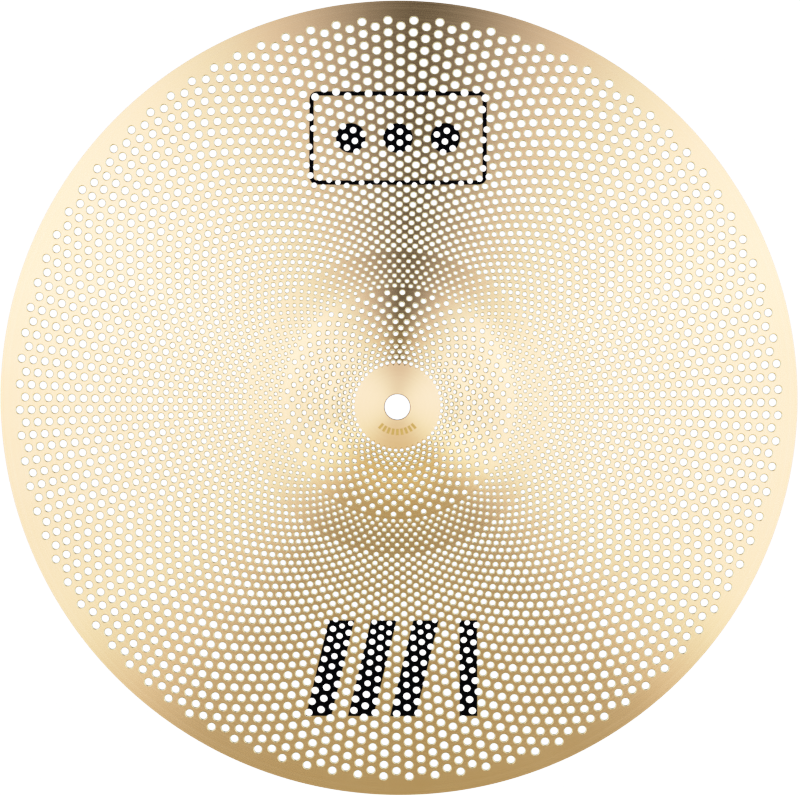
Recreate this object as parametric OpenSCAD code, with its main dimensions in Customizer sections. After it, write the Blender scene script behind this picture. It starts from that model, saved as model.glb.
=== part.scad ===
// Perforated crash cymbal: one pressed brass sheet, with three printed ink layers lying on its upper face.
// Millimetres. The cymbal lies on its rim: Z is its axis of revolution, z = 0 is the lowest edge of the rim.

/* [Disc] */
// Diameter of the disc over its rim
disc_d = 406.4; // [300:1:500]
// Thickness of the sheet
sheet_t = 0.8; // [0.6:0.1:1.5]
// Diameter of the centre hole
bore_d = 12.7; // [11:0.1:14]
// Width of the flat land that deburring leaves under the rim
land_w = 0.8; // [0.5:0.1:1.2]

/* [Bell and bow] */
// Radius at which the domed crown of the bell turns into its flare
crown_r = 30; // [26:1:34]
// Radius of the foot of the bell, where the flare runs into the bow
foot_r = 66; // [58:1:74]
// Slope of the bell at its steepest, in degrees
bell_angle = 34; // [28:1:38]
// Slope at the foot of the bell, in degrees
foot_angle = 7.5; // [6:0.5:9]
// Slope of the bow at the rim, in degrees
rim_angle = 11.5; // [10.5:0.5:14]

/* [Printed frame] */
// Width of the rounded frame
frame_w = 90; // [70:1:100]
// Height of the rounded frame
frame_h = 47; // [35:1:50]
// Distance from the axis to the middle of the frame
frame_y = 134; // [125:1:145]
// Width of the frame's line
frame_line = 2.2; // [1.5:0.1:4]
// Diameter of the three dots in the frame
dot_d = 15; // [8:0.5:18]

/* [Printed bars] */
// Height of the four bars
bar_h = 50; // [35:1:54]
// Width of each of the three slanted bars
bar_w = 13; // [8:0.5:14]
// Width of the upright bar
upright_w = 9; // [5:0.5:10]
// Distance from the axis to the middle of the bars
bar_y = 136.5; // [125:0.5:145]

/* [Bell ticks] */
// Number of ticks in the arc on the crown
ticks = 9; // [5:1:11]
// Radius of the arc of ticks
tick_r = 12.8; // [11:0.1:15]
// Length of each tick, along the radius
tick_l = 3.2; // [2:0.1:4]

/* [Hidden] */
$fn = 96;
ink_t = 0.08; // thickness of the printed ink
disc_r = disc_d / 2;
frame_corner = 4; // outer corner radius of the frame
dot_pitch = 24;
bar_lean = 12; // sideways run of a slanted bar over its height
bar_x = [-41, -19.5, 2]; // middle of each slanted bar
upright_x = 35.5;
tick_w = 1.3;
tick_step = 10; // degrees between ticks
tall = 100; // height of the cutters, well over the height of the disc
crown_steps = 12; // straight steps that draw each arc of the section
flare_steps = 14;
bow_steps = 14;

// The upper face is three arcs, tangent where they meet: crown, flare and bow.
crown_arc = crown_r / sin(bell_angle);
flare_arc = (foot_r - crown_r) / (sin(bell_angle) - sin(foot_angle));
bow_arc = (disc_r - foot_r) / (sin(rim_angle) - sin(foot_angle));

// Their centres in the (radius, z) plane, from the rim inward. The sheet's lower face meets z = 0 at the land.
bow_x = foot_r - bow_arc * sin(foot_angle);
bow_c = [bow_x, -sqrt(pow(bow_arc - sheet_t, 2) - pow(disc_r - land_w - bow_x, 2))];
flare_c = bow_c + (bow_arc + flare_arc) * square_to(foot_angle);
crown_c = flare_c - (flare_arc + crown_arc) * square_to(bell_angle);

// Direction square to a face that slopes down by a degrees.
function square_to(a) = [sin(a), cos(a)];

function backwards(list) = [for (i = [len(list) - 1:-1:0]) list[i]];

// Section points of the surface that lies a given lift above the upper face, from the axis to the rim.
function crown_points(lift) = [for (i = [0:crown_steps])
  crown_c + (crown_arc + lift) * square_to(bell_angle * i / crown_steps)];
function flare_points(lift) = [for (i = [1:flare_steps])
  flare_c - (flare_arc - lift) * square_to(bell_angle + (foot_angle - bell_angle) * i / flare_steps)];
function bow_points(lift) = [for (i = [1:bow_steps])
  bow_c + (bow_arc + lift) * square_to(foot_angle + (rim_angle - foot_angle) * i / bow_steps)];
function face_points(lift) = concat(crown_points(lift), flare_points(lift), bow_points(lift));

// Section of the layer between two lifts, and the solid that it sweeps.
module layer(low, high) {
  rotate_extrude() intersection() {
    polygon(concat(face_points(low), backwards(face_points(high))));
    translate([bore_d / 2, 0]) square([disc_r, tall]);
  }
}

// Sheet: the whole pressed disc, with its centre hole and the land under the rim.
module sheet() {
  color([0.86, 0.76, 0.54]) layer(-sheet_t, 0);
}

// A flat outline stood up through the thin ink layer.
module printed() {
  intersection() {
    layer(0, ink_t);
    linear_extrude(height = tall) children();
  }
}

module rounded_plate(w, h, r) {
  square([w - 2 * r, h], center = true);
  square([w, h - 2 * r], center = true);
  for (x = [-1, 1], y = [-1, 1])
    translate([x * (w / 2 - r), y * (h / 2 - r)]) circle(r = r);
}

// Frame print: a rounded frame in black ink around a row of three dots.
module frame_print() {
  color([0.06, 0.06, 0.07]) printed() translate([0, frame_y]) {
    difference() {
      rounded_plate(frame_w, frame_h, frame_corner);
      rounded_plate(frame_w - 2 * frame_line, frame_h - 2 * frame_line, frame_corner - frame_line);
    }
    for (i = [-1:1]) translate([i * dot_pitch, 0]) circle(d = dot_d);
  }
}

// Bar print: three slanted bars and one upright bar in black ink.
module bar_print() {
  lean = [bar_lean / 2, 0];
  half = [0, bar_h / 2];
  side = [bar_w / 2, 0];
  color([0.06, 0.06, 0.07]) printed() translate([0, -bar_y]) {
    for (x = bar_x) translate([x + bar_lean / 2, 0])
      polygon([-half - lean - side, -half - lean + side, half + lean + side, half + lean - side]);
    translate([upright_x, 0]) square([upright_w, bar_h], center = true);
  }
}

// Tick print: an arc of short gold ticks on the crown, under the centre hole.
module tick_print() {
  color([0.78, 0.62, 0.24]) printed() for (i = [0:ticks - 1])
    rotate(-90 + (i - (ticks - 1) / 2) * tick_step) translate([tick_r, 0]) square([tick_l, tick_w], center = true);
}

sheet();
frame_print();
bar_print();
tick_print();
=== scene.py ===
"""Perforated crash cymbal lying on its rim: the pressed sheet with all of its holes, and the printed ink.

Sizes are in millimetres until place() turns them into metres. R is the distance from the axis, an angle
runs anticlockwise from +X, and a lift is the height above the sheet's upper face, measured square to it.
"""

import math

import bmesh
import bpy
import numpy as np
from mathutils import Matrix, Vector


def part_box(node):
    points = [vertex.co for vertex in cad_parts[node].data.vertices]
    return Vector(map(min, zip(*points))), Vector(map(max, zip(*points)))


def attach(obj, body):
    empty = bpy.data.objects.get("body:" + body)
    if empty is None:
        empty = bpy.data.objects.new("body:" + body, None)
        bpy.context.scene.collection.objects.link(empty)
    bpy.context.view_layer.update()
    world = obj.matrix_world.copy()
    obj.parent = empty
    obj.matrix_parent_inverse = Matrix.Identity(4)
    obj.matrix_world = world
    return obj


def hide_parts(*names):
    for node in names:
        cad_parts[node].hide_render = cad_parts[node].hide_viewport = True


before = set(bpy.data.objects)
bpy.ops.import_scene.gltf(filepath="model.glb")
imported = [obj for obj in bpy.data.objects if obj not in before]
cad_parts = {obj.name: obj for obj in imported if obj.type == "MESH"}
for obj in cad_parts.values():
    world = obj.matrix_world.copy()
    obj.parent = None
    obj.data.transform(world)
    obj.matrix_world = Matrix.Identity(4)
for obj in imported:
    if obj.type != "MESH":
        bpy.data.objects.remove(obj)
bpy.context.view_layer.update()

MM = 0.001

# ---------------------------------------------------------------- sizes
SHEET_LOW, SHEET_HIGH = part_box("sheet")
DISC_R = SHEET_HIGH[0] / MM
TOP_Z = SHEET_HIGH[2] / MM
BORE_R = 6.35
SHEET_T = 0.8
INK_T = 0.08
INK_SUNK = 0.02  # how far the ink's lower face lies inside the brass
RIM_ROUND, BORE_ROUND = 0.2, 0.35  # radii of the rounded edges at the rim and at the centre hole

# The upper face, as in the CAD: three arcs, tangent where they meet.
CROWN_R, FOOT_R = 30.0, 66.0
BELL_SLOPE, FOOT_SLOPE, RIM_SLOPE = (math.radians(a) for a in (34, 7.5, 11.5))
CROWN_ARC = CROWN_R / math.sin(BELL_SLOPE)
FLARE_ARC = (FOOT_R - CROWN_R) / (math.sin(BELL_SLOPE) - math.sin(FOOT_SLOPE))
BOW_ARC = (DISC_R - FOOT_R) / (math.sin(RIM_SLOPE) - math.sin(FOOT_SLOPE))
CROWN_Z = TOP_Z - math.sqrt(CROWN_ARC**2 - BORE_R**2)
FLARE_X = (CROWN_ARC + FLARE_ARC) * math.sin(BELL_SLOPE)
FLARE_Z = CROWN_Z + (CROWN_ARC + FLARE_ARC) * math.cos(BELL_SLOPE)
BOW_X = FLARE_X - (FLARE_ARC + BOW_ARC) * math.sin(FOOT_SLOPE)
BOW_Z = FLARE_Z - (FLARE_ARC + BOW_ARC) * math.cos(FOOT_SLOPE)

# The perforation: each band is holes per ring, rings, radius of its first ring, ring pitch, and the hole's
# diameter on its first and last ring. Every other ring is turned by half a step.
INNER_BANDS = (
    (46, 5, 22.6, 2.48, 1.82, 1.95),
    (46, 8, 36.15, 2.92, 2.23, 2.34),
)
OUTER_BANDS = (
    (92, 7, 59.87, 2.5, 1.56, 1.5),
    (92, 10, 77.95, 2.28, 2.04, 2.22),
    (92, 8, 100.7, 2.51, 2.66, 2.74),
    (92, 10, 120.8, 2.74, 3.22, 3.2),
    (92, 16, 148.3, 3.005, 3.74, 3.89),
)
FIRST_HOLE = math.radians(1.55)
COLUMNS = 736  # points round every circle: 8 along each side of a hole's cell in rings of 46, else 4
JOINT_R = 58.2  # where the rings of 46 holes give way to rings of 92
STAGGER = 0.12  # how far the turned rings sit in from even spacing
LIP, LIP_DROP = 0.45, 0.28  # width and depth of the rounded-over upper edge of a hole
LIP_LEAN = 0.35, 1.6  # how far that edge leans where it begins and at the hole's wall, as tangents

# The print, as in the CAD: a frame round three dots, three slanted bars and an upright one, nine ticks.
FRAME_W, FRAME_H, FRAME_Y, FRAME_LINE, FRAME_CORNER = 90, 47, 134, 2.2, 4
DOT_D, DOT_PITCH = 15, 24
BAR_H, BAR_W, BAR_Y, BAR_LEAN, BAR_X = 50, 13, -136.5, 12, (-41, -19.5, 2)
UPRIGHT_W, UPRIGHT_X = 9, 35.5
TICKS, TICK_R, TICK_L, TICK_W, TICK_STEP = 9, 12.8, 3.2, 1.3, 10

# ---------------------------------------------------------------- looks
PALE_BRASS, DEEP_BRASS = (0.94, 0.645, 0.267), (0.88, 0.585, 0.228)
# near-black brass for the walls of the holes and of the bore: painted shade inside the holes
WALL_SHADE_PALE, WALL_SHADE_DEEP = (0.11, 0.09, 0.06), (0.06, 0.05, 0.033)
SIDE_LIGHT, FILL_LIGHT = (2.2, 2.31, 3.65), (1, 0.96, 0.85)
TENT = (  # strength of the side lights by azimuth in degrees
    (0, 1.0), (10, 1.03), (175, 1.0), (190, 0.88), (212, 0.84), (222, 0.78), (232, 0.5), (243, 0.1),
    (297, 0.08), (308, 0.6), (317, 0.98), (330, 0.92),
)
GAP_X, GAP_HALF = 0.01, 0.02  # middle and half width of the dark gap between them
FLOOR_GLOW = 1.65
TONE_WHITE = 1.6  # the brightness that comes out white
TONE = (  # share of that brightness, and what it comes out as
    (0, 0), (0.125, 0.2), (0.25, 0.4), (0.34, 0.54), (0.45, 0.694), (0.5, 0.75), (0.61, 0.835),
    (0.74, 0.92), (0.86, 0.975), (1, 1),
)
CAMERA_FAR, FOCAL, TILT_X, TILT_Y, ROLL, AIM = 4420, 390.5, 0.92, 4.8, -0.07, (0.66, 1.07, 2)


# ---------------------------------------------------------------- the surface
def section(r):
    """Height, sine and cosine of the slope of the upper face at each R."""
    r = np.asarray(r, float)
    crown, flare = r < CROWN_R, r < FOOT_R
    sine = np.select([crown, flare], [r / CROWN_ARC, (FLARE_X - r) / FLARE_ARC], (r - BOW_X) / BOW_ARC)
    cosine = np.sqrt(1 - sine**2)
    heights = [CROWN_Z + CROWN_ARC * cosine, FLARE_Z - FLARE_ARC * cosine]
    return np.select([crown, flare], heights, BOW_Z + BOW_ARC * cosine), sine, cosine


def place(r, angle, lift):
    """Points in metres. Nothing reaches under z = 0, which leaves the flat land under the rim."""
    z, sine, cosine = section(r)
    out = r + sine * lift
    return np.stack([out * np.cos(angle), out * np.sin(angle), np.maximum(z + cosine * lift, 0)], -1) * MM


def upward(r, angle):
    """The upper face's own normal at each point."""
    _, sine, cosine = section(r)
    return np.stack([sine * np.cos(angle), sine * np.sin(angle), cosine], -1)


def turn(angle):
    """Unit vector round the disc at each angle."""
    return np.stack([-np.sin(angle), np.cos(angle), np.zeros_like(angle)], -1)


def outward(r, angle):
    """Unit vector down the slope, along the upper face, at each point."""
    _, sine, cosine = section(r)
    return np.stack([cosine * np.cos(angle), cosine * np.sin(angle), -sine], -1)


upper_skin = []  # the plan of every face on the upper side, which the ink is cut from
COLUMN_ANGLES = FIRST_HOLE + np.arange(COLUMNS) * 2 * math.pi / COLUMNS


class Solid:
    """The points, four-sided faces and corner normals of one piece."""

    def __init__(self):
        self.points, self.quads, self.normals, self.slots = [], [], [], []
        self.count = 0

    def add_points(self, points):
        ids = self.count + np.arange(points[..., 0].size).reshape(points.shape[:-1])
        self.points.append(points.reshape(-1, 3))
        self.count += ids.size
        return ids

    def add_quads(self, ids, normals, slot=0):
        self.quads.append(ids.reshape(-1, 4))
        self.normals.append(np.broadcast_to(normals, ids.shape + (3,)).reshape(-1, 4, 3))
        self.slots.append(np.full(ids.size // 4, slot))

    def strip(self, ids_a, ids_b, normals_a, normals_b, slot=0):
        """Faces between two closed rows of points: the last axis of ids runs round the row."""
        ids = np.stack([ids_a, np.roll(ids_a, -1, -1), np.roll(ids_b, -1, -1), ids_b], -1)
        next_a, next_b = np.roll(normals_a, -1, -2), np.roll(normals_b, -1, -2)
        self.add_quads(ids, np.stack([normals_a, next_a, next_b, normals_b], -2), slot)

    def build(self, name, materials):
        points = np.concatenate(self.points)
        quads = np.concatenate(self.quads)
        normals = np.concatenate(self.normals)
        corners = points[quads]
        facing = np.cross(corners[:, 2] - corners[:, 0], corners[:, 3] - corners[:, 1])
        wrong = (facing * normals.sum(1)).sum(1) < 0
        quads[wrong] = quads[wrong, ::-1]
        normals[wrong] = normals[wrong, ::-1]
        slots = np.concatenate(self.slots)
        upper = (normals[..., 2].max(1) > 0.5) & (slots != 1)
        upper_skin.append(points[quads[upper]][..., :2])
        used, quads = np.unique(quads, return_inverse=True)
        points, quads = points[used], quads.reshape(-1, 4)
        mesh = bpy.data.meshes.new(name)
        mesh.vertices.add(len(points))
        mesh.vertices.foreach_set("co", points.ravel())
        mesh.loops.add(quads.size)
        mesh.loops.foreach_set("vertex_index", quads.ravel())
        mesh.polygons.add(len(quads))
        mesh.polygons.foreach_set("loop_start", np.arange(0, quads.size, 4))
        mesh.polygons.foreach_set("material_index", slots)
        mesh.update(calc_edges=True)
        mesh.polygons.foreach_set("use_smooth", np.ones(len(quads), bool))
        lengths = np.linalg.norm(normals, axis=-1, keepdims=True)
        mesh.normals_split_custom_set((normals / lengths).reshape(-1, 3))
        for material in materials:
            mesh.materials.append(material)
        return add_object(name, mesh)


def add_object(name, mesh):
    piece = bpy.data.objects.new(name, mesh)
    bpy.context.scene.collection.objects.link(piece)
    return piece


# ---------------------------------------------------------------- the perforated sheet
def ring_plan(bands):
    """Each ring's radius, and the radius of its holes."""
    radii, holes = [], []
    for _, rings, first, pitch, hole_in, hole_out in bands:
        for k in range(rings):
            radii.append(first + k * pitch - STAGGER * (k % 2))
            holes.append((hole_in + (hole_out - hole_in) * k / (rings - 1)) / 2)
    return radii, holes


class Lattice:
    """Rings of holes, each hole in a four-cornered cell. Line k runs zigzag between ring k - 1 and ring k,
    so that the lines on either side of a ring meet between its holes."""

    def __init__(self, bands, inner_edge, outer_edge):
        self.holes_per_ring = bands[0][0]
        self.side = COLUMNS // (2 * self.holes_per_ring)
        self.radii, self.holes = ring_plan(bands)
        self.reach = [self.radii[0] - inner_edge] + self.radii + [self.radii[-1] + outer_edge]

    def line(self, k):
        """R of line k at each column. It touches ring k - 1 at the columns of ring k's holes."""
        start = (k % 2) * self.side
        off = np.abs((np.arange(COLUMNS) - start + self.side) % (2 * self.side) - self.side) / self.side
        return self.reach[k] + (self.reach[k + 1] - self.reach[k]) * off

    def add_lines(self, solid, first, last, lift):
        """Points of lines first to last, one where two lines meet. Returns their numbers by line."""
        ids = {}
        for k in range(first, last + 1):
            line = solid.add_points(place(self.line(k), COLUMN_ANGLES, lift))
            if k > first:
                meeting = np.arange((k % 2) * self.side, COLUMNS, 2 * self.side)
                line[meeting] = ids[k - 1][meeting]
            ids[k] = line
        return ids

    def line_normals(self, k):
        return upward(self.line(k), COLUMN_ANGLES)

    def add_holes(self, solid, k, upper, lower):
        """The cells of ring k on both faces, and each hole's rounded lip and wall."""
        middle = (k % 2) * self.side + 2 * self.side * np.arange(self.holes_per_ring)[:, None]
        inner_way = (middle + np.arange(-self.side, self.side + 1)) % COLUMNS
        outer_way = (middle + np.arange(self.side - 1, -self.side, -1)) % COLUMNS

        def cell(by_line):
            return np.concatenate([by_line(k)[inner_way], by_line(k + 1)[outer_way]], 1)

        cell_normals = cell(self.line_normals)
        points = 4 * self.side
        spin = math.pi + 2 * math.pi * np.arange(points) / points
        centre = COLUMN_ANGLES[middle]
        slope = section(self.radii[k])[2]
        half_width = math.pi * self.radii[k] / self.holes_per_ring
        half_height = min(self.reach[k + 1] - self.reach[k], self.reach[k + 2] - self.reach[k + 1])
        room = half_width * half_height / math.hypot(half_width, half_height) - self.holes[k]

        def rim(hole_r, lift):
            r = self.radii[k] + hole_r * np.sin(spin) * slope + 0 * centre
            angle = centre + hole_r * np.cos(spin) / r
            return r, angle, solid.add_points(place(r, angle, lift))

        r, angle, lip = rim(self.holes[k] + min(LIP, room - 0.01), 0)
        lip_normals = upward(r, angle)
        r, angle, wall_top = rim(self.holes[k], -LIP_DROP)
        _, _, wall_foot = rim(self.holes[k], -SHEET_T)
        into_hole = -(np.cos(spin)[:, None] * turn(angle) + np.sin(spin)[:, None] * outward(r, angle))
        solid.strip(cell(upper.get), lip, cell_normals, lip_normals)
        leaning = [lip_normals + lean * into_hole for lean in LIP_LEAN]
        # the lip is a duller, darker brass: painted shade along the rounded edge, with the normals leaning
        # into the hole
        solid.strip(lip, wall_top, *leaning, 2)
        # the hole's wall, in the near-black brass that paints the shade inside the hole
        solid.strip(wall_top, wall_foot, into_hole, into_hole, 1)
        solid.strip(wall_foot, cell(lower.get), -upward(r, angle), -cell_normals)


def circle_row(solid, r, lift, tilt=math.pi / 2, way=1, upright=False):
    """A closed row of points at one R, with normals that tilt from square to the sheet towards its edge. An
    upright row keeps its R whatever its lift, as on the wall of the centre hole."""
    if upright:
        r = r - section(r)[1] * lift
    r = np.full(COLUMNS, float(r))
    normals = math.sin(tilt) * upward(r, COLUMN_ANGLES) + math.cos(tilt) * way * outward(r, COLUMN_ANGLES)
    return solid.add_points(place(r, COLUMN_ANGLES, lift)), normals


def edge_rows(solid, edge_r, way, upright):
    """Rows over a rounded edge, from the upper face to the lower. way is 1 at the rim and -1 at the bore."""
    rounding = BORE_ROUND if upright else RIM_ROUND
    rows = []
    for foot, angles in ((0, (90, 60, 30, 0)), (1, (0, -30, -60, -90))):
        for tilt in map(math.radians, angles):
            r = edge_r - way * rounding * (1 - math.cos(tilt))
            drop = rounding * (1 - abs(math.sin(tilt)))
            lift = drop - SHEET_T if foot else -drop
            rows.append(circle_row(solid, r, lift, tilt, way, upright))
    return rows


def plain_zone(solid, upper, lower, line_r, circles, way, edge_r=None, slot=0):
    """Closes a piece past its last line of holes: plain circles on both faces, then a rounded edge of the
    sheet at edge_r, or the cut where the next piece begins. The edge and wall of the bore are in the
    near-black brass that paints the shade inside the holes."""
    normals = upward(line_r, COLUMN_ANGLES)
    above = [(upper, normals)] + [circle_row(solid, r, 0) for r in circles]
    below = [(lower, -normals)] + [circle_row(solid, r, -SHEET_T, -math.pi / 2) for r in circles]
    if edge_r is None:
        cut = way * outward(line_r, COLUMN_ANGLES)
        solid.strip(above[-1][0], below[-1][0], cut, cut)
        paths = [above, below]
    else:
        paths = [above + edge_rows(solid, edge_r, way, upright=way < 0) + below[::-1]]
    for path in paths:
        for i, ((ids_a, normals_a), (ids_b, normals_b)) in enumerate(zip(path, path[1:])):
            in_bore = way < 0 and edge_r and len(above) <= i < len(above) + 6
            solid.strip(ids_a, ids_b, normals_a, normals_b, 1 if in_bore else slot)


def sheet_piece(name, lattice, rings, inner=((), None), outer=((), None)):
    """One stretch of the sheet as a closed solid. inner and outer are the plain circles past the holes on
    each side, and the R of the sheet's own edge there, if it has one."""
    solid = Solid()
    first, last = rings[0], rings[-1] + 1
    upper = lattice.add_lines(solid, first, last, 0)
    lower = lattice.add_lines(solid, first, last, -SHEET_T)
    for k in rings:
        lattice.add_holes(solid, k, upper, lower)
    crown_slot = 3 if inner[1] else 0
    plain_zone(solid, upper[first], lower[first], lattice.line(first), inner[0], -1, inner[1], crown_slot)
    plain_zone(solid, upper[last], lower[last], lattice.line(last), outer[0], 1, outer[1])
    return solid.build(name, [BRASS, WALL_SHADE_BRASS, LIP_SHADE_BRASS, CROWN_BRASS])


# ---------------------------------------------------------------- ink
def near(outline):
    """The plan of the upper faces whose boxes meet the outline's."""
    low, high = np.min(outline, 0) * MM, np.max(outline, 0) * MM
    skin = np.concatenate(upper_skin)
    return skin[((skin.max(1) > low) & (skin.min(1) < high)).all(1)]


def clipped(outline):
    """The plan of the upper skin inside a convex outline that runs anticlockwise, as lists of corners."""
    plan = bmesh.new()
    for quad in near(outline):
        plan.faces.new([plan.verts.new((x, y, 0)) for x, y in quad])
    for (ax, ay), (bx, by) in zip(outline, outline[1:] + outline[:1]):
        everything = plan.verts[:] + plan.edges[:] + plan.faces[:]
        start, out = Vector((ax, ay, 0)) * MM, Vector((by - ay, ax - bx, 0))
        cut = {"plane_co": start, "plane_no": out, "dist": 1e-8, "clear_outer": True}
        bmesh.ops.bisect_plane(plan, geom=everything, **cut)
    faces = [[v.co.copy() for v in face.verts] for face in plan.faces]
    plan.free()
    return faces


def welded(outlines):
    """One flat mesh of the upper skin inside all of the outlines."""
    plan = bmesh.new()
    for outline in outlines:
        for corners in clipped(outline):
            plan.faces.new([plan.verts.new(co) for co in corners])
    bmesh.ops.remove_doubles(plan, verts=plan.verts[:], dist=1e-6)
    plan.verts.index_update()
    return plan


def ink(name, outlines, material):
    """Thin print: the plan of its outlines laid on the sheet, with a top, an underside and edges."""
    plan = welded(outlines)
    flat = np.array([v.co[:2] for v in plan.verts]) / MM
    r, angle = np.hypot(flat[:, 0], flat[:, 1]), np.arctan2(flat[:, 1], flat[:, 0])
    points = np.concatenate([place(r, angle, INK_T), place(r, angle, -INK_SUNK)])
    up = upward(r, angle)
    under = len(r)
    faces, normals = [], []
    for face in plan.faces:
        top = [v.index for v in face.verts]
        faces += [top, [i + under for i in reversed(top)]]
        normals += [*up[top], *-up[top[::-1]]]
        for loop in face.loops:
            if loop.edge.is_boundary:
                a, b = loop.vert.index, loop.link_loop_next.vert.index
                faces.append([b, a, a + under, b + under])
                normals += [np.cross(points[b] - points[a], up[a])] * 4
    plan.free()
    mesh = bpy.data.meshes.new(name)
    mesh.from_pydata(points.tolist(), [], faces)
    mesh.polygons.foreach_set("use_smooth", np.ones(len(faces), bool))
    mesh.normals_split_custom_set([Vector(n).normalized() for n in normals])
    mesh.materials.append(material)
    return add_object(name, mesh)


def box_at(x, y, width, height, lean=0.0):
    """A four-sided outline about a point, its top moved over by lean and its foot as far the other way."""
    w, h = width / 2, height / 2
    return [(x - w - lean, y - h), (x + w - lean, y - h), (x + w + lean, y + h), (x - w + lean, y + h)]


def arc_points(x, y, radius, start, stop, count):
    angles = [start + (stop - start) * i / count for i in range(count + 1)]
    return [(x + radius * math.cos(a), y + radius * math.sin(a)) for a in angles]


def frame_outlines():
    """A rectangle of four lines with rounded corners, round a row of three dots."""
    x, y, line = FRAME_W / 2, FRAME_H / 2, FRAME_LINE
    straight_x, straight_y = FRAME_W - 2 * FRAME_CORNER, FRAME_H - 2 * FRAME_CORNER
    outlines = [box_at(0, FRAME_Y + side * (y - line / 2), straight_x, line) for side in (-1, 1)]
    outlines += [box_at(side * (x - line / 2), FRAME_Y, line, straight_y) for side in (-1, 1)]
    for quarter in range(4):
        start = quarter * math.pi / 2
        corner_x = (x - FRAME_CORNER) * (1 if quarter in (0, 3) else -1)
        corner_y = (y - FRAME_CORNER) * (1 if quarter < 2 else -1) + FRAME_Y
        outside = arc_points(corner_x, corner_y, FRAME_CORNER, start, start + math.pi / 2, 6)
        inside = arc_points(corner_x, corner_y, FRAME_CORNER - line, start, start + math.pi / 2, 6)
        pairs = list(zip(outside, inside))
        outlines += [[b, a, c, d] for (a, b), (c, d) in zip(pairs, pairs[1:])]
    for x in (-DOT_PITCH, 0, DOT_PITCH):
        outlines.append(arc_points(x, FRAME_Y, DOT_D / 2, 0, 2 * math.pi, 48)[:-1])
    return outlines


def tick_outlines():
    outlines = []
    for i in range(TICKS):
        a = math.radians(-90 + TICK_STEP * (i - (TICKS - 1) / 2))
        along, across = (math.cos(a), math.sin(a)), (-math.sin(a), math.cos(a))
        corners = []
        for out, side in ((-1, -1), (1, -1), (1, 1), (-1, 1)):
            r, w = TICK_R + out * TICK_L / 2, side * TICK_W / 2
            corners.append((r * along[0] + w * across[0], r * along[1] + w * across[1]))
        outlines.append(corners)
    return outlines


# ---------------------------------------------------------------- materials
def plug(tree, socket, value):
    if isinstance(value, bpy.types.NodeSocket):
        tree.links.new(value, socket)
    else:
        socket.default_value = value


def node(tree, kind, inputs, out=0, **settings):
    """A node with its settings and inputs set, and one of its outputs returned."""
    made = tree.nodes.new("ShaderNode" + kind)
    for name, value in settings.items():
        setattr(made, name, value)
    for key, value in inputs.items():
        plug(tree, made.inputs[key], value)
    return made.outputs[out]


def calc(tree, operation, a, b=0.0):
    return node(tree, "Math", {0: a, 1: b}, operation=operation)


def product(tree, first, *others):
    for other in others:
        first = calc(tree, "MULTIPLY", first, other)
    return first


def total(tree, first, *others):
    for other in others:
        first = calc(tree, "ADD", first, other)
    return first


def fitted(tree, value, from_low, from_high, to_low, to_high):
    ends = {"From Min": from_low, "From Max": from_high, "To Min": to_low, "To Max": to_high}
    return node(tree, "MapRange", {"Value": value, **ends})


def principled(name):
    made = bpy.data.materials.new(name)
    made.use_nodes = True
    return made, made.node_tree, made.node_tree.nodes["Principled BSDF"].inputs


def bumped(tree, shader, height, strength):
    bump = node(tree, "Bump", {"Height": height, "Strength": strength, "Distance": 0.00002})
    plug(tree, shader["Normal"], bump)


def mixed(tree, share, a, b):
    return node(tree, "Mix", {0: share, 6: (*a, 1), 7: (*b, 1)}, out=2, data_type="RGBA")


def brass(name, pale, deep, roughness, grain, aniso, turned=0.6):
    """Lathed brass: fine circular grooves drag its highlights out along each radius. turned is the share
    of the grooves in its unevenness, and the rest is cloudy."""
    made, tree, shader = principled(name)
    spot = node(tree, "TexCoord", {}, out=3)
    flat = node(tree, "VectorMath", {0: spot, 1: (1, 1, 0)}, operation="MULTIPLY")
    radius = node(tree, "VectorMath", {0: flat}, out=1, operation="LENGTH")
    turns = node(tree, "TexNoise", {"W": radius, "Scale": 900, "Detail": 3}, noise_dimensions="1D")
    cloud = node(tree, "TexNoise", {"Vector": spot, "Scale": 30, "Detail": 5, "Roughness": 0.6})
    both = total(tree, product(tree, turns, turned), product(tree, cloud, 1 - turned))
    shade = fitted(tree, both, 0.35, 0.65, 0, 1)
    plug(tree, shader["Base Color"], mixed(tree, shade, deep, pale))
    plug(tree, shader["Roughness"], fitted(tree, both, 0.3, 0.7, roughness - grain, roughness + grain))
    shader["Metallic"].default_value = 1
    shader["Anisotropic"].default_value = aniso
    shader["Anisotropic Rotation"].default_value = 0.25
    plug(tree, shader["Tangent"], node(tree, "Tangent", {}, direction_type="RADIAL", axis="Z"))
    bumped(tree, shader, turns, turned / 2)
    return made


def printed(name, light, dark, roughness, gloss):
    """Screen-printed ink, very slightly uneven."""
    made, tree, shader = principled(name)
    spot = node(tree, "TexCoord", {}, out=3)
    cloud = node(tree, "TexNoise", {"Vector": spot, "Scale": 220, "Detail": 4})
    plug(tree, shader["Base Color"], mixed(tree, cloud, dark, light))
    plug(tree, shader["Roughness"], fitted(tree, cloud, 0.3, 0.7, roughness - 0.05, roughness + 0.05))
    shader["Specular IOR Level"].default_value = gloss
    bumped(tree, shader, cloud, 0.2)
    return made


BRASS = brass("brass_lathed", PALE_BRASS, DEEP_BRASS, 0.23, 0.03, 0.95)
CROWN_BRASS = brass("brass_crown", (1, 0.7, 0.31), (0.95, 0.65, 0.275), 0.5, 0.04, 0.3, 0.2)
# painted shade: the rounded lips of the holes are a duller, darker brass, which draws a dark outline round
# each hole
LIP_SHADE_BRASS = brass("brass_lip", (0.76, 0.66, 0.29), (0.66, 0.57, 0.24), 0.32, 0.04, 0.0)
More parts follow.
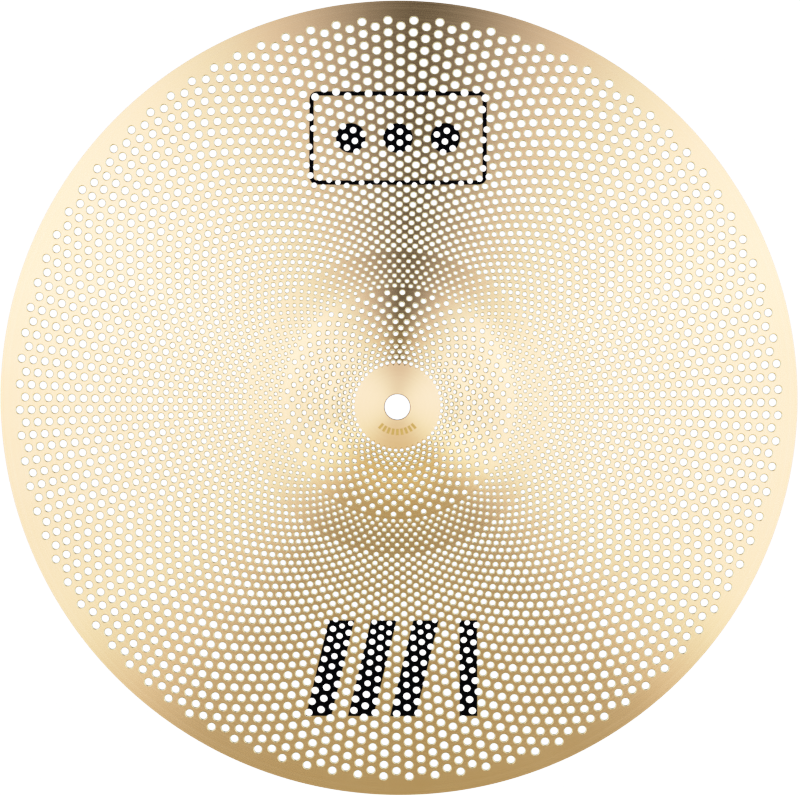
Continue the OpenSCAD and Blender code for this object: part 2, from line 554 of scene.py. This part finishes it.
# painted shade: the walls of the holes and of the bore are near black
WALL_SHADE_BRASS = brass("brass_cut", WALL_SHADE_PALE, WALL_SHADE_DEEP, 0.6, 0.08, 0.0)
BLACK_INK = printed("ink_black", (0.0012, 0.001, 0.0008), (0.0005, 0.0004, 0.0003), 0.6, 0.012)
GOLD_INK = printed("ink_gold", (0.62, 0.40, 0.07), (0.5, 0.31, 0.05), 0.5, 0.2)

# ---------------------------------------------------------------- the model
CROWN_ROWS = (20, 18, 16, 13.5, 11, 9, 7.5)
INNER = Lattice(INNER_BANDS, 2.0, 1.66)
OUTER = Lattice(OUTER_BANDS, 1.6, 3.0)
SHEET_PIECES = [
    sheet_piece("sheet_bell", INNER, range(13), inner=(CROWN_ROWS, BORE_R), outer=((JOINT_R,), None)),
    sheet_piece("sheet_bow_1", OUTER, range(13), inner=((JOINT_R,), None)),
    sheet_piece("sheet_bow_2", OUTER, range(13, 26)),
    sheet_piece("sheet_bow_3", OUTER, range(26, 39)),
    sheet_piece("sheet_bow_4", OUTER, range(39, 51), outer=((197, 199, 201, 202.4), DISC_R)),
]
BAR_OUTLINES = [box_at(x + BAR_LEAN / 2, BAR_Y, BAR_W, BAR_H, BAR_LEAN / 2) for x in BAR_X]
PRINTS = {
    "frame_print": ink("ink_frame", frame_outlines(), BLACK_INK),
    "bar_print": ink("ink_bars", BAR_OUTLINES + [box_at(UPRIGHT_X, BAR_Y, UPRIGHT_W, BAR_H)], BLACK_INK),
    "tick_print": ink("ink_ticks", tick_outlines(), GOLD_INK),
}
for piece in SHEET_PIECES:
    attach(piece, "root")
    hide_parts("sheet")
for replaced, piece in PRINTS.items():
    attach(piece, "root")
    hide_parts(replaced)


# ---------------------------------------------------------------- floor, light and camera
def white_floor():
    """A plain white floor and walls that only the camera sees, so they add nothing to the light."""
    side = 12
    mesh = bpy.data.meshes.new("floor")
    square = (-1, -1), (1, -1), (1, 1), (-1, 1)
    corners = [(x * side, y * side, z) for z in (0, 2 * side) for x, y in square]
    walls = [(0, 1, 5, 4), (1, 2, 6, 5), (2, 3, 7, 6), (3, 0, 4, 7)]
    mesh.from_pydata(corners, [], [(0, 1, 2, 3), (4, 5, 6, 7)] + walls)
    paint = bpy.data.materials.new("floor_white")
    paint.use_nodes = True
    tree = paint.node_tree
    tree.nodes.clear()
    glow = node(tree, "Emission", {"Color": (1, 1, 1, 1), "Strength": FLOOR_GLOW})
    output = tree.nodes.new("ShaderNodeOutputMaterial")
    tree.links.new(glow, output.inputs["Surface"])
    mesh.materials.append(paint)
    floor = add_object("floor", mesh)
    for ray in ("diffuse", "glossy", "transmission", "volume_scatter", "shadow"):
        setattr(floor, "visible_" + ray, False)


def room_light():
    """A studio drawn in the world: a long light to each side, a dark gap overhead from front to back, and
    a low fill on the near side. Both lights are weaker at the height that the bell's flank mirrors."""
    world = bpy.data.worlds.new("tent")
    world.use_nodes = True
    tree = world.node_tree
    tree.nodes.clear()
    way = node(tree, "TexCoord", {}, out=0)
    split = tree.nodes.new("ShaderNodeSeparateXYZ")
    tree.links.new(way, split.inputs[0])
    x, y, z = split.outputs
    azimuth = calc(tree, "ARCTAN2", y, x)
    share = calc(tree, "FRACT", total(tree, calc(tree, "DIVIDE", azimuth, 2 * math.pi), 1))
    ramp = tree.nodes.new("ShaderNodeValToRGB")
    stops = ramp.color_ramp.elements
    while len(stops) < len(TENT):
        stops.new(0.5)
    for stop, (degrees, level) in zip(stops, TENT):
        stop.position = degrees / 360
        stop.color = (level, level, level, 1)
    tree.links.new(share, ramp.inputs[0])
    away = calc(tree, "SQRT", calc(tree, "SUBTRACT", 1, product(tree, z, z)))
    width = calc(tree, "MAXIMUM", fitted(tree, y, -0.1, 0.1, 0.15, 0.3), product(tree, away, 0.78))
    off_gap = calc(tree, "ABSOLUTE", calc(tree, "SUBTRACT", x, GAP_X))
    past_gap = calc(tree, "SUBTRACT", off_gap, GAP_HALF)
    reach = calc(tree, "SUBTRACT", width, GAP_HALF)
    across = node(tree, "Clamp", {"Value": calc(tree, "DIVIDE", past_gap, reach)})
    dark = fitted(tree, z, -0.1, 0.4, 0.06, 1)
    high, low = fitted(tree, z, 0.8, 0.95, 0.6, 1), fitted(tree, z, 0.5, 0.8, 0.82, 0.6)
    waist = calc(tree, "MAXIMUM", high, low)
    shoulder = product(tree, dark, waist, fitted(tree, y, -0.55, -0.15, 0.8, 1))
    side = product(tree, ramp.outputs[0], across, shoulder)
    near_fill = product(tree, fitted(tree, y, -0.42, -0.28, 1.02, 0.0), shoulder, waist)
    ends = product(tree, fitted(tree, calc(tree, "ABSOLUTE", y), 0.65, 0.85, 0.0, 0.36), dark)
    fill = total(tree, near_fill, ends, fitted(tree, y, 0.25, 0.36, 0.06, 0.02))
    lit = node(tree, "VectorMath", {0: SIDE_LIGHT, "Scale": side}, operation="SCALE")
    filled = node(tree, "VectorMath", {0: FILL_LIGHT, "Scale": fill}, operation="SCALE")
    both = node(tree, "VectorMath", {0: lit, 1: filled}, operation="ADD")
    sky = node(tree, "Background", {"Color": both, "Strength": 1.0})
    output = tree.nodes.new("ShaderNodeOutputWorld")
    tree.links.new(sky, output.inputs["Surface"])
    bpy.context.scene.world = world


def camera():
    lens = bpy.data.cameras.new("camera")
    lens.sensor_width = 36
    lens.lens = FOCAL
    lens.dof.use_dof = False
    lens.clip_end = 100
    eye = bpy.data.objects.new("camera", lens)
    bpy.context.scene.collection.objects.link(eye)
    target = Vector(AIM) * MM
    offset = Vector((math.sin(math.radians(TILT_X)), math.sin(math.radians(TILT_Y)), 0))
    offset.z = math.sqrt(1 - offset.length_squared)
    eye.location = target + offset * CAMERA_FAR * MM
    back = offset
    right = Vector((0, 1, 0)).cross(back).normalized()
    up = back.cross(right)
    turned = Matrix((right, up, back)).transposed() @ Matrix.Rotation(math.radians(ROLL), 3, "Z")
    eye.rotation_euler = turned.to_euler()
    bpy.context.scene.camera = eye


def develop():
    """A camera's soft shoulder: brightness up to TONE_WHITE is brought under white."""
    view = bpy.context.scene.view_settings
    view.view_transform = "Standard"
    view.use_curve_mapping = True
    curves = view.curve_mapping
    curves.white_level = (TONE_WHITE,) * 3
    points = curves.curves[3].points
    while len(points) < len(TONE):
        points.new(0.5, 0.5)
    for point, spot in zip(points, TONE):
        point.location = spot
    curves.update()


white_floor()
room_light()
camera()
develop()
